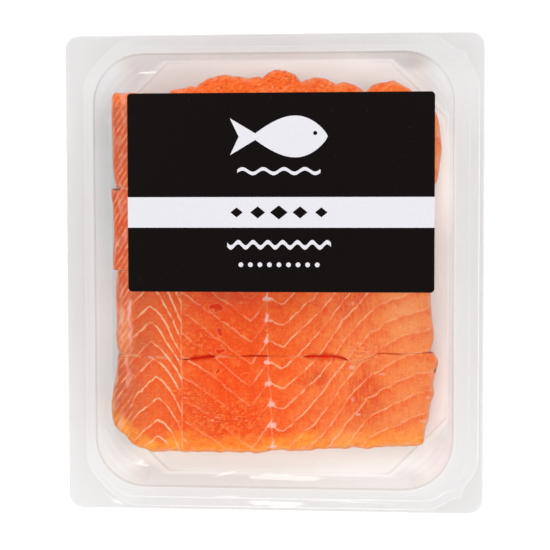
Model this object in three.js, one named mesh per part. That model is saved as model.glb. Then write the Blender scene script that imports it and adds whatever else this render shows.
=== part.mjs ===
// A sealed retail pack of raw salmon: a clear thermoformed tray, four skin-on portions of one side of
// salmon lying in it as they were cut, a clear lid film sealed to the rim and a plain label on the film.
//
// Millimetres, +Z up. The origin is the middle of the tray's flat base. +X runs from the thick back of
// the fish to its thin belly, and +Y from the last portion to the first.
import * as THREE from "three";

// ---- Driving dimensions -------------------------------------------------------------------------

// The tray's outer size, over its flange.
const trayWidth = 201.5;
const trayLength = 230;
const trayHeight = 32;
const traySheet = 0.8;

// The flange's outer corners, and how far its rim outside the seal lies below the seal land.
const flangeCornerRadius = 7;
const landDrop = 0.6;
const landStep = 0.5;

// The seal land reaches nearly to the edge on three sides, and leaves a strip free along the back of
// the fish. Its wide corners leave room for a thumb to peel the film.
const landMarginLeft = 9.2;
const landMarginRight = 2.7;
const landMarginEnds = 1.7;
const landCornerRadius = 25;

// The mouth of the cavity, which sits a little off the middle of the flange, its rolled edge, and how
// far the walls lean in on their way down.
const mouthCentre = { x: -0.4, y: 1 };
const mouthHalfWidth = 86.3;
const mouthHalfLength = 104.5;
const mouthCornerRadius = 24;
const mouthRoll = 1.2;
const wallLeanSides = 2.3;
const wallLeanEnds = 1.5;

// The floor has its corners cut at 45 degrees, and is rounded up into the walls.
const floorCornerCut = 28;
const floorRound = 1.8;

// The film covers the whole flange. The label lies on it, off centre.
const filmSheet = 0.3;
const labelSheet = 0.2;
const labelWidth = 147.7;
const labelLength = 95.6;
const labelCornerRadius = 2;
const labelCentre = { x: 3.4, y: 39.2 };

// The side of salmon: its two long edges, its cut ends, and the knife cuts between the portions.
const fleshGap = 0.8;
const wallGap = 0.5;
const footTuck = 1.2;
const cornerPull = 0.015;
const cornerPower = 7;
const shoulderRound = { back: 4.5, belly: 3.5, cut: 2 };

// Thickness from the back of the fish to its belly, evenly spaced.
const thicknessKnots = [18, 21, 20.5, 20, 18.5, 16, 13.5, 11.5];

// One row for each portion, from the first to the last. Edges run from back to belly or from front to
// rear, evenly spaced.
const portions = [
  {
    name: "fillet_1",
    front: [41.5, 42, 42.4, 43],
    rear: [88.6, 88.3, 88, 90.1, 91.5, 94.8, 96.8, 95.6, 98.6, 97.2, 95, 93.1, 91.7, 93.1, 93.6, 88.5, 79],
    back: [-80.2, -81.2, -81.4, -81.6, -81.6],
    belly: [79.8, 79.8, 80.8, 80.2, 79],
  },
  {
    name: "fillet_2",
    front: [0.9, 1.2, 1, 1.6],
    rear: [41.5, 42, 42.4, 43],
    back: [-81.6, -81.4, -81, -81.2, -81, -80.8],
    belly: [76, 76.2, 76.4, 76.4],
  },
  {
    name: "fillet_3",
    front: [-40.6, -41.4, -42.3, -41.5, -41, -41, -41.2, -41.4, -42, -40.1, -39.4],
    rear: [0.9, 1.2, 1, 1.6],
    back: [-79.2, -80.2, -79.8, -80.2, -80, -79.4],
    belly: [76.2, 77.2, 76.2, 75.6, 75.8, 76],
  },
  {
    name: "fillet_4",
    front: [-73, -87.7, -89.5, -89.6, -89.7, -89.8, -89, -89.8, -88.3, -87.6, -86.8, -86.6],
    rear: [-40.6, -41.4, -42.3, -41.5, -41, -41, -41.2, -41.4, -42, -40.1, -39.4],
    back: [-82.6, -82.9, -82.6, -81.9, -80.2, -79.8],
    belly: [72.9, 73.4, 75.3, 77.4, 77.6, 79.6, 77.8],
  },
];

// How finely the curved surfaces are cut into facets.
const cornerSteps = 10;
const rollSteps = 3;
const fleshStepsAlong = 32;
const fleshStepsAcross = 12;
const fleshStepsUp = 4;

// ---- Helpers ------------------------------------------------------------------------------------

const lerp = THREE.MathUtils.lerp;

/** A smooth curve through evenly spaced values: the value at a share of the way, 0 to 1. */
function through(values, share) {
  const place = THREE.MathUtils.clamp(share, 0, 1) * (values.length - 1);
  const index = Math.min(Math.floor(place), values.length - 2);
  const before = values[Math.max(index - 1, 0)];
  const after = values[Math.min(index + 2, values.length - 1)];
  const curve = new THREE.CatmullRomCurve3([]);
  curve.points = [before, values[index], values[index + 1], after].map(
    (value, place) => new THREE.Vector3(place, value, 0),
  );
  curve.curveType = "catmullrom";
  return curve.getPoint((1 + place - index) / 3).y;
}

/**
 * One level of the tray or film: a ring of points, anticlockwise from above. Its four corners blend
 * from a straight 45 degree cut, at roundness 0, to a quarter circle, at roundness 1.
 */
function ring({ left, right, front, rear, corner, roundness = 1 }, z) {
  const centres = [
    [right - corner, rear - corner],
    [left + corner, rear - corner],
    [left + corner, front + corner],
    [right - corner, front + corner],
  ];
  const points = [];
  centres.forEach(([x, y], quarter) => {
    const start = (quarter * Math.PI) / 2;
    for (let step = 0; step <= cornerSteps; step += 1) {
      const share = step / cornerSteps;
      const angle = start + (share * Math.PI) / 2;
      const cutX = lerp(Math.cos(start), Math.cos(start + Math.PI / 2), share);
      const cutY = lerp(Math.sin(start), Math.sin(start + Math.PI / 2), share);
      const roundX = lerp(cutX, Math.cos(angle), roundness);
      const roundY = lerp(cutY, Math.sin(angle), roundness);
      points.push([x + corner * roundX, y + corner * roundY, z]);
    }
  });
  return points;
}

/** A level that reaches equally far on both sides of a centre. */
function evenRing(centre, halfWidth, halfLength, corner, z, roundness = 1) {
  const sides = {
    left: centre.x - halfWidth,
    right: centre.x + halfWidth,
    front: centre.y - halfLength,
    rear: centre.y + halfLength,
  };
  return ring({ ...sides, corner, roundness }, z);
}

/** The outer edge of the flange, which the film shares. */
function flangeRing(z) {
  return evenRing({ x: 0, y: 0 }, trayWidth / 2, trayLength / 2, flangeCornerRadius, z);
}

/** A closed solid skinned over rings, from the middle of its underside round to the middle of its top. */
function skin(rings) {
  const count = rings[0].length;
  const positions = rings.flat(2);
  const faces = [];
  const at = (level, step) => level * count + (step % count);
  const middles = [rings[0], rings.at(-1)].map((level) => {
    const x = level.reduce((sum, point) => sum + point[0], 0) / count;
    const y = level.reduce((sum, point) => sum + point[1], 0) / count;
    positions.push(x, y, level[0][2]);
    return positions.length / 3 - 1;
  });
  const last = rings.length - 1;
  for (let step = 0; step < count; step += 1) {
    faces.push(middles[0], at(0, step + 1), at(0, step));
    for (let level = 0; level < last; level += 1) {
      faces.push(at(level, step), at(level, step + 1), at(level + 1, step + 1));
      faces.push(at(level, step), at(level + 1, step + 1), at(level + 1, step));
    }
    faces.push(middles[1], at(last, step), at(last, step + 1));
  }
  return solid(positions, faces);
}

/** An indexed geometry from plain lists. */
function solid(positions, faces) {
  const geometry = new THREE.BufferGeometry();
  geometry.setAttribute("position", new THREE.Float32BufferAttribute(positions, 3));
  geometry.setIndex(faces);
  geometry.computeVertexNormals();
  return geometry;
}

/** A named mesh with its own material. */
function piece(name, geometry, look) {
  const mesh = new THREE.Mesh(geometry, new THREE.MeshStandardMaterial(look));
  mesh.name = name;
  return mesh;
}

// ---- Tray ---------------------------------------------------------------------------------------

/** The cavity's wall at a share of its height, 0 at the floor and 1 at the mouth, grown outwards. */
function wallRing(share, z, grown) {
  const halfWidth = mouthHalfWidth - wallLeanSides * (1 - share) + grown;
  const halfLength = mouthHalfLength - wallLeanEnds * (1 - share) + grown;
  const corner = lerp(floorCornerCut, mouthCornerRadius, share) + grown * 0.5;
  return evenRing(mouthCentre, halfWidth, halfLength, corner, z, share);
}

/** Rings that turn from the flat floor up into the wall, on one face of the sheet. */
function floorTurn(z, radius, grown) {
  const rings = [];
  for (let step = 0; step <= rollSteps; step += 1) {
    const angle = (step / rollSteps) * (Math.PI / 2);
    const inset = radius * (1 - Math.sin(angle));
    const rise = radius * (1 - Math.cos(angle));
    rings.push(wallRing(0, z + rise, grown - inset));
  }
  return rings;
}

/** Rings that roll from the top of the wall out on to the flange, on one face of the sheet. */
function mouthTurn(z, radius, grown) {
  const rings = [];
  for (let step = 0; step <= rollSteps; step += 1) {
    const angle = (step / rollSteps) * (Math.PI / 2);
    const out = radius * (1 - Math.cos(angle));
    const drop = radius * (1 - Math.sin(angle));
    rings.push(wallRing(1, z - drop, grown + out));
  }
  return rings;
}

/** The edge of the seal land, moved outwards by a little. */
function landRing(z, grown) {
  const sides = {
    left: -trayWidth / 2 + landMarginLeft - grown,
    right: trayWidth / 2 - landMarginRight + grown,
    front: -trayLength / 2 + landMarginEnds - grown,
    rear: trayLength / 2 - landMarginEnds + grown,
  };
  return ring({ ...sides, corner: landCornerRadius + grown }, z);
}

function trayGeometry() {
  const landTop = trayHeight;
  const rimTop = trayHeight - landDrop;
  const underside = [
    ...floorTurn(0, floorRound + traySheet, traySheet),
    ...mouthTurn(landTop - traySheet, mouthRoll, traySheet),
    landRing(landTop - traySheet, 0),
    landRing(rimTop - traySheet, landStep),
    flangeRing(rimTop - traySheet),
  ];
  const inside = [
    flangeRing(rimTop),
    landRing(rimTop, landStep),
    landRing(landTop, 0),
    ...mouthTurn(landTop, mouthRoll + traySheet, 0).reverse(),
    ...floorTurn(traySheet, floorRound, 0).reverse(),
  ];
  return skin([...underside, ...inside]);
}

// ---- Lid film and label -------------------------------------------------------------------------

function filmGeometry() {
  return skin([flangeRing(trayHeight), flangeRing(trayHeight + filmSheet)]);
}

function labelGeometry() {
  const sides = {
    left: labelCentre.x - labelWidth / 2,
    right: labelCentre.x + labelWidth / 2,
    front: labelCentre.y - labelLength / 2,
    rear: labelCentre.y + labelLength / 2,
    corner: labelCornerRadius,
  };
  const bottom = trayHeight + filmSheet;
  return skin([ring(sides, bottom), ring(sides, bottom + labelSheet)]);
}

// ---- Salmon portions ----------------------------------------------------------------------------

/** How far a surface has dropped at a distance in from an edge that is rounded over. */
function roundedDrop(distance, radius) {
  const inside = Math.max(radius - distance, 0);
  return radius - Math.sqrt(Math.max(radius * radius - inside * inside, 0));
}

/** The nearest place to a point, at its own height, that is clear of the cavity's walls. */
function insideTray([x, y, z]) {
  const rise = z - traySheet;
  const wallRise = trayHeight - mouthRoll - 2 * traySheet - floorRound;
  const share = THREE.MathUtils.clamp((rise - floorRound) / wallRise, 0, 1);
  const inset = wallGap + roundedDrop(rise, floorRound);
  const halfWidth = mouthHalfWidth - wallLeanSides * (1 - share) - inset;
  const halfLength = mouthHalfLength - wallLeanEnds * (1 - share) - inset;
  const corner = lerp(floorCornerCut, mouthCornerRadius, share);
  const side = { x: Math.sign(x - mouthCentre.x), y: Math.sign(y - mouthCentre.y) };
  const clear = {
    x: Math.min(Math.abs(x - mouthCentre.x), halfWidth),
    y: Math.min(Math.abs(y - mouthCentre.y), halfLength),
  };
  const past = { x: clear.x - (halfWidth - corner), y: clear.y - (halfLength - corner) };
  if (past.x > 0 && past.y > 0) {
    const reach = Math.hypot(past.x, past.y);
    const limit = corner * lerp(reach / (past.x + past.y), 1, share);
    const pull = Math.min(limit / reach, 1);
    clear.x = halfWidth - corner + past.x * pull;
    clear.y = halfLength - corner + past.y * pull;
  }
  return [mouthCentre.x + side.x * clear.x, mouthCentre.y + side.y * clear.y, z];
}

/** Where a portion's top surface is, for u from back to belly and v from front to rear, -1 to 1. */
function fleshPoint(portion, u, v) {
  const pulledU = u * (1 - cornerPull * Math.abs(v) ** cornerPower);
  const pulledV = v * (1 - 3 * cornerPull * Math.abs(u) ** (4 * cornerPower));
  const along = (pulledU + 1) / 2;
  const across = (pulledV + 1) / 2;
  const back = through(portion.back, across);
  const belly = through(portion.belly, across);
  const front = through(portion.front, along) + fleshGap / 2;
  const rear = through(portion.rear, along) - fleshGap / 2;
  const x = lerp(back, belly, along);
  const y = lerp(front, rear, across);
  const dropBack = roundedDrop(x - back, shoulderRound.back);
  const dropBelly = roundedDrop(belly - x, shoulderRound.belly);
  const dropCut = roundedDrop(Math.min(y - front, rear - y), shoulderRound.cut);
  const top = traySheet + through(thicknessKnots, along) - dropBack - dropBelly - dropCut;
  return insideTray([x, y, top]);
}

/** A portion: its domed top, nearly upright cut sides, and a flat skin side on the tray's floor. */
function fleshGeometry(portion) {
  const positions = [];
  const faces = [];
  const eased = (step, steps) => Math.sin(((2 * step) / steps - 1) * (Math.PI / 2));
  for (let j = 0; j <= fleshStepsAcross; j += 1) {
    for (let i = 0; i <= fleshStepsAlong; i += 1) {
      positions.push(...fleshPoint(portion, eased(i, fleshStepsAlong), eased(j, fleshStepsAcross)));
    }
  }
  const at = (i, j) => j * (fleshStepsAlong + 1) + i;
  for (let j = 0; j < fleshStepsAcross; j += 1) {
    for (let i = 0; i < fleshStepsAlong; i += 1) {
      faces.push(at(i, j), at(i + 1, j), at(i + 1, j + 1));
      faces.push(at(i, j), at(i + 1, j + 1), at(i, j + 1));
    }
  }

  const rim = [];
  for (let i = 0; i < fleshStepsAlong; i += 1) rim.push(at(i, 0));
  for (let j = 0; j < fleshStepsAcross; j += 1) rim.push(at(fleshStepsAlong, j));
  for (let i = fleshStepsAlong; i > 0; i -= 1) rim.push(at(i, fleshStepsAcross));
  for (let j = fleshStepsAcross; j > 0; j -= 1) rim.push(at(0, j));
  const middle = [
    (through(portion.back, 0.5) + through(portion.belly, 0.5)) / 2,
    (through(portion.front, 0.5) + through(portion.rear, 0.5)) / 2,
  ];
  const levels = [rim];
  for (let level = 1; level <= fleshStepsUp; level += 1) {
    const share = level / fleshStepsUp;
    levels.push(rim.map((top) => {
      const [x, y, z] = positions.slice(3 * top, 3 * top + 3);
      const tuck = (footTuck * share * share) / Math.hypot(x - middle[0], y - middle[1]);
      const side = [lerp(x, middle[0], tuck), lerp(y, middle[1], tuck), lerp(z, traySheet, share)];
      positions.push(...insideTray(side));
      return positions.length / 3 - 1;
    }));
  }
  positions.push(...middle, traySheet);
  const underMiddle = positions.length / 3 - 1;
  const feet = levels.at(-1);
  for (let step = 0; step < rim.length; step += 1) {
    const next = (step + 1) % rim.length;
    for (let level = 0; level < fleshStepsUp; level += 1) {
      const [above, below] = [levels[level], levels[level + 1]];
      faces.push(below[step], below[next], above[next], below[step], above[next], above[step]);
    }
    faces.push(underMiddle, feet[next], feet[step]);
  }
  return solid(positions, faces);
}

// ---- The pack -----------------------------------------------------------------------------------

const clearPlastic = { color: 0xe6e8ea, roughness: 0.08, metalness: 0, transparent: true, opacity: 0.35 };
const clearFilm = { color: 0xf2f3f4, roughness: 0.05, metalness: 0, transparent: true, opacity: 0.15 };
const blackPaper = { color: 0x151212, roughness: 0.45, metalness: 0 };
const salmonFlesh = { color: 0xf0703c, roughness: 0.35, metalness: 0 };

const pack = new THREE.Group();
pack.add(piece("tray", trayGeometry(), clearPlastic));
for (const portion of portions) {
  pack.add(piece(portion.name, fleshGeometry(portion), salmonFlesh));
}
pack.add(piece("lid_film", filmGeometry(), clearFilm));
pack.add(piece("label", labelGeometry(), blackPaper));

export default pack;
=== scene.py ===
"""A sealed retail pack of raw salmon portions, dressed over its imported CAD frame.

Lengths are millimetres until a mesh is made. +X runs from the back of the fish to its belly, +Y from the
last portion to the first, and +Z is up. The tray stands on z = 0.
"""

import math

import bpy
import numpy as np
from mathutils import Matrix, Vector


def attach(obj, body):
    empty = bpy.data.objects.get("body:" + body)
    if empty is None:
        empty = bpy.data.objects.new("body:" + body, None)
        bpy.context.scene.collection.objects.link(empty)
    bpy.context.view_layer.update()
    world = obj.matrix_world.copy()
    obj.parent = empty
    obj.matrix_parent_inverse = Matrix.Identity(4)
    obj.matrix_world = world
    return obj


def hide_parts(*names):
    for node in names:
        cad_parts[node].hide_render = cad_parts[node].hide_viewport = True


MM = 0.001

# ---- Tray, film and label ----

TRAY_HALF = (100.75, 115.0)
TRAY_HEIGHT = 32
TRAY_SHEET = 0.6
FLANGE_CORNER = 7
EDGE_LINE = 0.3
LAND_DROP = 0.6
LAND_STEP = 0.5
LAND_LINE = 0.4
LAND_MARGIN = {"left": 9.2, "right": 2.7, "ends": 1.7}
LAND_CORNER = 25
LAND_DRAWN_IN = 2.4
LOBE_REACH = 2.6
LOBE_PLACE = 0.47
LOBE_WIDTH = 0.07
BEAD_INSET = 4.1
BEAD_INSET_LEFT = 2.3
BEAD_WIDTH = 0.5
BEAD_DEPTH = 0.2
MOUTH_CENTRE = (-0.4, 1.0)
MOUTH_HALF = (86.3, 104.5)
MOUTH_CORNER = 24
MOUTH_ROLL = 1.2
WALL_LEAN = (2.3, 1.5)
FLOOR_CUT = 28
FLOOR_ROUND = 1.8
FLOOR_MARGIN = 6
FILM_GAP = 0.05
FILM_SHEET = 0.25
LABEL_SHEET = 0.2
LABEL_HALF = (73.85, 47.8)
LABEL_CORNER = 2
LABEL_CENTRE = (3.4, 39.2)
BAND_SPAN = (22.4, 37.1)
DOT_PITCH = 4.6
DIAMOND_PITCH = 10.2
PRINT_LIFT = 0.03

CORNER_STEPS = 28
SIDE_STEPS = 36
WALL_STEPS = 9
TURN = np.linspace(0, math.pi / 2, 7)
FILM_SIDE_STEPS = 110
FILM_INSETS = [*np.arange(0, 22, 0.7), *np.arange(22, 90, 6)]

# How far each level of the tray goes from its own tint to the painted shade of a sheet seen edge on. Below
# zero it goes towards white instead, a painted highlight where an edge catches the light.
FLOOR_BENDS = (0.0, 0.02, 0.07, 0.17, 0.07, 0.03, 0.02)
WALL_BENDS = (0.02, 0.05, 0.02, 0.07, 0.02, 0.06, 0.02, 0.05)
MOUTH_BENDS = (0.04, 0.5, 0.22, 0.03, 0.0, 0.0, 0.0)
BEAD_BEND = -0.15
LAND_BEND = -0.28
STEP_BEND = 0.04
EDGE_BEND = 0.1

# Between these heights the tray's floor turns into its wall, in how it looks.
FLOOR_TO_WALL = (3, 8)

# Shallow dents in the film: middle x and y, half length and half width, turn, and depth. Over the
# flange they are bubbles that stand up instead.
FILM_DENTS = [
    (0.5, -109.6, 11.5, 2.8, 0.0, -0.62),
    (6.0, -100.2, 18.0, 2.1, 0.0, 0.44),
    (-23.4, -98.0, 6.5, 1.1, 0.3, 0.26),
    (-22.0, -107.4, 9.0, 0.8, 0.03, -0.13),
    (35.0, -108.9, 34.0, 0.8, -0.03, -0.11),
    (-65.8, -93.8, 5.5, 1.6, -0.1, 0.34),
    (-77.8, -109.6, 4.2, 1.5, -0.5, -0.34),
    (-60.5, 97.9, 6.5, 1.1, 0.05, 0.3),
]

# ---- Salmon ----

ALONG_STEPS = 300
ACROSS_STEPS = 84
UP_STEPS = 12
WALL_GAP = 0.4
FOOT_DEPTH = 18
FOOT_TUCK = 1.2
SIDE_BULGE = 0.25
CORNER_PULL = 0.012
CORNER_POWER = 7
SKIN_HEIGHT = 1.3
SKIN_LIFT = 0.03
BACK_ROUND = 4.5
BELLY_ROUND = 3.5
CUT_ROUND = 0.3
CREASE = 0.12
LIP_WIDTH = 0.5
LIP_PALENESS = 0.4
# How far in from the outer edges the flesh is painted paler, as painted light.
RIM_WIDTH = 2.6
CUT_DEPTH = 1.3
FRONT_ROUND = 2.6
REAR_ROUND = 3.2
THICKNESS = [18, 21, 20.5, 20, 18.5, 16, 13.5, 11.5]

# The cuts across the fish, and its two ends, as places along the fish from the back to the belly.
SEAM_1 = {"x": [-80, -70, 0, 80], "y": [41.6, 41.4, 42.4, 43]}
SEAM_2 = {"x": [-80, -30, 20, 80], "y": [0.9, 1.2, 1.0, 1.6]}
SEAM_3 = {
    "x": [-80, -64, -50, -44, -30, -10, 14, 30, 34, 38, 43, 47, 51, 60, 80],
    "y": [
        -40.6, -41.4, -42.2, -42.8, -41.2, -40.9, -41.2, -41.4,
        -42.6, -43.9, -43.2, -41.4, -39.6, -40.2, -39.3,
    ],
}
FRONT_END = {
    "x": [-83, -80.8, -77.8, -75.3, -71.3, -67.9, -62, -50, -8, 2, 8, 12, 20, 33, 45, 60, 73],
    "y": [
        -72, -77.0, -79.6, -81.4, -85.3, -87.5, -88.6, -89.0, -89.0,
        -88.0, -88.6, -88.4, -87.2, -87.2, -87.2, -86.1, -85.6,
    ],
}
REAR_LEVEL = {"x": [-80, -55, 40, 66, 75, 78, 82], "y": [88.6, 87.8, 87.4, 87, 83, 78.5, 74]}

# Lumps that stand out past the rear end: middle, half width, and the place along the fish they reach.
REAR_LUMPS = [
    (-38, 15, 91.0),
    (-24, 17, 96.6),
    (-10, 12, 95.6),
    (2, 12.5, 99),
    (20, 13, 95),
    (33, 10, 92.6),
    (55, 11.5, 93.2),
]

# Where a cut stands open at the top: middle, half length, width.
OPEN_1 = [(-79.5, 3.5, 1.2), (20, 12, 1.0)]
OPEN_2 = [(10, 14, 0.8)]
OPEN_3 = [(-37.5, 8, 2.5), (-9.5, 8, 0.8), (24.5, 11, 2.9), (57, 8, 0.5), (80, 2.5, 1.0)]

# Where the last cut is pressed shut, so that nothing but a faint line shows: middle and half length.
PRESSED_SHUT = [(-65, 17), (43, 8)]

PORTIONS = [
    {
        "name": "fillet_1",
        "front": SEAM_1,
        "rear": REAR_LEVEL,
        "open": (OPEN_1, None),
        "back": [-80.2, -81.2, -81.4, -81.6, -81.6],
        "belly": [78.8, 79.6, 80.6, 80, 79],
    },
    {
        "name": "fillet_2",
        "front": SEAM_2,
        "rear": SEAM_1,
        "open": (OPEN_2, OPEN_1),
        "back": [-81.6, -81.4, -81, -81.2, -81.4, -82.4],
        "belly": [76, 76.2, 76.4, 76.4],
    },
    {
        "name": "fillet_3",
        "front": SEAM_3,
        "rear": SEAM_2,
        "open": (OPEN_3, OPEN_2),
        "back": [-79.2, -80.2, -79.8, -80.2, -80, -79.4],
        "belly": [76.2, 77.2, 76.2, 75.6, 75.8, 76],
    },
    {
        "name": "fillet_4",
        "front": FRONT_END,
        "rear": SEAM_3,
        "open": (None, OPEN_3),
        "back": [-82.6, -82.8, -82.1, -81.1, -79.9, -79.6],
        "belly": [72.9, 73, 73.4, 74.8, 75.3, 75.9, 77.4, 77, 77.6, 78.6, 79.6, 77.8],
    },
]

# The flakes: how far a line between flakes lies along the fish, from the back to the belly.
FLANK_LINE = {
    "x": [-48, -11.9, -3.1, -0.6, 3.8, 11.6, 21.4, 33.6, 45.9, 55.7, 65.5, 82],
    "y": [14.6, -12.2, 0, -2, -3.9, 3.4, 13.7, 30.2, 44.2, 50.6, 54.4, 59],
}
CHEVRON_LINE = {"x": [-20, -11, 0, 4, 8, 11.5, 14, 18], "y": [-23, -9.7, 0, -3, -9.5, -17, -23, -33]}
CHEVRON_PEAKS = [-80.5, -72.2, -61.5, -51.3, -42.4, -33.4, -24.6, -16.2]
LINE_STRENGTH = {
    "x": [-50, -42, -34, -12, -5, 2, 24, 45, 60, 82],
    "share": [0.85, 0.8, 0.45, 0.5, 0.7, 0.95, 0.9, 0.75, 0.65, 0.5],
}
FISH_HALF = 80
FLAKE_SLANT = 0.8
FLANK_PITCH = 10.42
FLANK_FIRST = -1.4
MARGIN_PITCH = 4.5
MARGIN_SLOPE = 1.5
MARGIN_FOOT = -76
MARGIN_X = -72.4
SEPTUM_X = -46.2
MIDLINE = {"x": [-1.6, -2.3, -3.5, -4.2, -4.0], "y": [-85, -65, -50, -35, 0]}
PEAK_X = {"x": [-58.2, -58.3, -59, -61.7, -61.7], "y": [-75, -61, -51, -33, -10]}

# Marks in the flesh: middle x and y, half width and half length.
PIN_HOLES = [(-29.2, -17, 4.2, 2.5), (-27.8, -28.8, 2.4, 2), (-27.4, -38.6, 3.4, 2), (-28.5, -48.3, 1.4, 1.3)]
FLUSHED = [(44, -60, 9, 16), (37, -12, 9, 11), (-24, -8, 14, 7), (20, -52, 6, 5), (-82, 25, 11, 42)]
PALE = [(42, -39.5, 9, 4.5), (62, -20, 9, 14), (35, -82, 8, 4), (-76, -30, 4, 14)]
TORN = [(-25, -72, 19, 8), (-42, -60, 8, 5), (0, 94, 70, 9), (-38, -34, 7, 5), (43, -39, 9, 5)]
# The dark spot at the back corner between the first two portions is a painted shadow of the open cut beside
# it.
DARK_SPOTS = [(78.2, -48.6, 0.9, 1.3), (-78.6, 41.1, 2.4, 0.9)]
FLECKS = [
    (37.6, -15, 1, 1.1),
    (37.6, -46.6, 1.9, 1.3),
    (38, -62.3, 0.9, 1.3),
    (40.5, -70, 1.6, 0.9),
    (52, -50, 3, 0.5),
    (-62.4, -42, 2.4, 0.7),
    (75.6, -61.5, 2.4, 0.9),
    (72.3, -73.4, 2.6, 0.8),
]

# ---- Colours ----


def srgb(red, green, blue):
    """A colour given as it looks on a screen, 0 to 255, as the linear values that Blender wants."""
    channels = np.array([red, green, blue]) / 255
    linear = np.where(channels <= 0.04045, channels / 12.92, ((channels + 0.055) / 1.055) ** 2.4)
    return (*(float(value) for value in linear), 1.0)


WHITE = (1, 1, 1, 1)
BLACK = (0, 0, 0, 1)
WORN_GREY = (0.5, 0.5, 0.5, 1)
FLOOR_WHITE = (0.94, 0.94, 0.94, 1)
LABEL_BLACK = (0.006, 0.004, 0.004, 1)
LABEL_WHITE = (0.69, 0.68, 0.72, 1)

# From the back of the fish to its belly.
FLESH_TONES = [
    (0.0, srgb(190, 96, 64)),
    (0.14, srgb(228, 102, 48)),
    (0.36, srgb(233, 76, 14)),
    (0.56, srgb(236, 100, 38)),
    (0.72, srgb(234, 123, 66)),
    (1.0, srgb(234, 142, 84)),
]
SKIN_TONES = [(0.0, srgb(70, 78, 86)), (0.35, srgb(128, 134, 140)), (1.0, srgb(206, 208, 208))]
# Dark grey of the gaps between the skin's scales, also used for a painted shadow on the flesh.
SKIN_GAP_AND_SHADOW_DARK = srgb(52, 56, 62)
FLUSH_RED = srgb(212, 80, 40)
PALE_PEACH = srgb(240, 168, 112)
THIN_YELLOW = srgb(255, 172, 62)
# The rear end's saturated orange: partly its own colour, partly painted light, lighter for the light that
# reaches the rear end.
REAR_ORANGE_AND_LIGHT = srgb(255, 114, 36)
# Painted light along the outer edges and the upper outer sides: pale, for the light that the thin edge lets
# through.
EDGE_LIGHT_PEACH = srgb(250, 178, 140)
DEEP_ORANGE = srgb(224, 60, 4)
FIBRE_PEACH = srgb(240, 136, 62)
LINE_PALE = srgb(240, 180, 136)
KNOT_WHITE = srgb(238, 184, 168)
PIT_RED = srgb(216, 50, 0)
SHADE_BROWN = srgb(90, 40, 48)
# The cut faces' deep red: partly the flesh's own red, partly painted shade inside the cuts between portions.
CUT_RED_AND_SHADE = srgb(238, 30, 4)
CRACK_RED = srgb(206, 50, 6)

# How much light one face of each sheet lets through. The sides of the cavity are cooler than its floor.
FLANGE_TINT = np.array([0.852, 0.85, 0.85])
FLOOR_TINT = np.array([0.94, 0.93, 0.92])
SIDE_TINT = np.array([0.862, 0.88, 0.886])
# The painted shade of a bent sheet seen edge on.
EDGE_ON_SHADE = np.array([0.44, 0.36, 0.33])
FILM_TINT = 0.99

# How much of the light a clear sheet mirrors when seen face on, and how much more when seen edge on.
GLOSS_FACING = 0.04
GLOSS_EDGE_ON = 0.45

# The flesh's noises: how fine each is, its detail, its roughness, and its stretch along the axes.
EVEN = (1, 1, 1)
GRAINS = {
    "broad": (45, 3, 0.5, EVEN),
    "patches": (150, 5, 0.62, EVEN),
    "mottle": (800, 4, 0.7, (0.7, 1, 1)),
    "fibre": (1050, 2, 0.5, (1, 0.16, 0.5)),
    "wander": (260, 4, 0.65, EVEN),
    "uneven": (330, 3, 0.6, EVEN),
    "fading": (210, 3, 0.5, EVEN),
    "streaks": (300, 4, 0.5, (1, 0.4, 1)),
    "flecks": (640, 3, 0.7, (0.45, 1, 1)),
    "cracks": (380, 3, 0.6, (0.45, 1.2, 1)),
}

# ---- Shapes from numbers ----


def through(values, share):
    """A smooth curve through evenly spaced values, at shares of the way."""
    values = np.asarray(values, float)
    place = np.clip(share, 0, 1) * (len(values) - 1)
    index = np.minimum(place.astype(int), len(values) - 2)
    t = place - index
    before = values[np.maximum(index - 1, 0)]
    start = values[index]
    end = values[index + 1]
    after = values[np.minimum(index + 2, len(values) - 1)]
    bend = (2 * before - 5 * start + 4 * end - after) * t**2
    turn = (3 * start - before - 3 * end + after) * t**3
    return 0.5 * (2 * start + (end - before) * t + bend + turn)


def waves(x, y, size, seed):
    """Smooth irregular relief, about -1 to 1, with bumps of one size."""
    random = np.random.default_rng(seed)
    total = 0
    count = 9
    for angle in random.uniform(0, math.pi, count):
        length = size * random.uniform(0.75, 1.6)
        phase = random.uniform(0, 2 * math.pi)
        total = total + np.sin(2 * math.pi * (x * math.cos(angle) + y * math.sin(angle)) / length + phase)
    return total / math.sqrt(count)


def spots(x, y, marks):
    """0 to 1: how deep each place lies in the nearest of some soft oval marks."""
    found = np.zeros_like(x)
    for centre_x, centre_y, half_x, half_y in marks:
        reach = ((x - centre_x) / half_x) ** 2 + ((y - centre_y) / half_y) ** 2
        found = np.maximum(found, np.exp(-(reach**1.5)))
    return found


def rounded_drop(distance, radius):
    """How far a surface has dropped at a distance in from an edge that is rounded over."""
    inside = np.maximum(radius - distance, 0)
    return radius - np.sqrt(np.maximum(radius**2 - inside**2, 0))


def rise(value, low, high):
    """0 up to the low value, 1 from the high one, and smooth between them."""
    share = np.clip((value - low) / (high - low), 0, 1)
    return share * share * (3 - 2 * share)


def fall(value, low, high):
    return 1 - rise(value, low, high)


def soft_table(table, x, reach=1.0):
    """A table's value, with its corners rounded over a small reach."""
    places = np.linspace(-reach, reach, 5)
    return sum(np.interp(x + place, table["x"], table["y"]) for place in places) / len(places)


# ---- Making pieces ----


def put_in_scene(name, data):
    """A new object for a mesh, a light or a camera."""
    thing = bpy.data.objects.new(name, data)
    bpy.context.scene.collection.objects.link(thing)
    return thing


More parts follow.
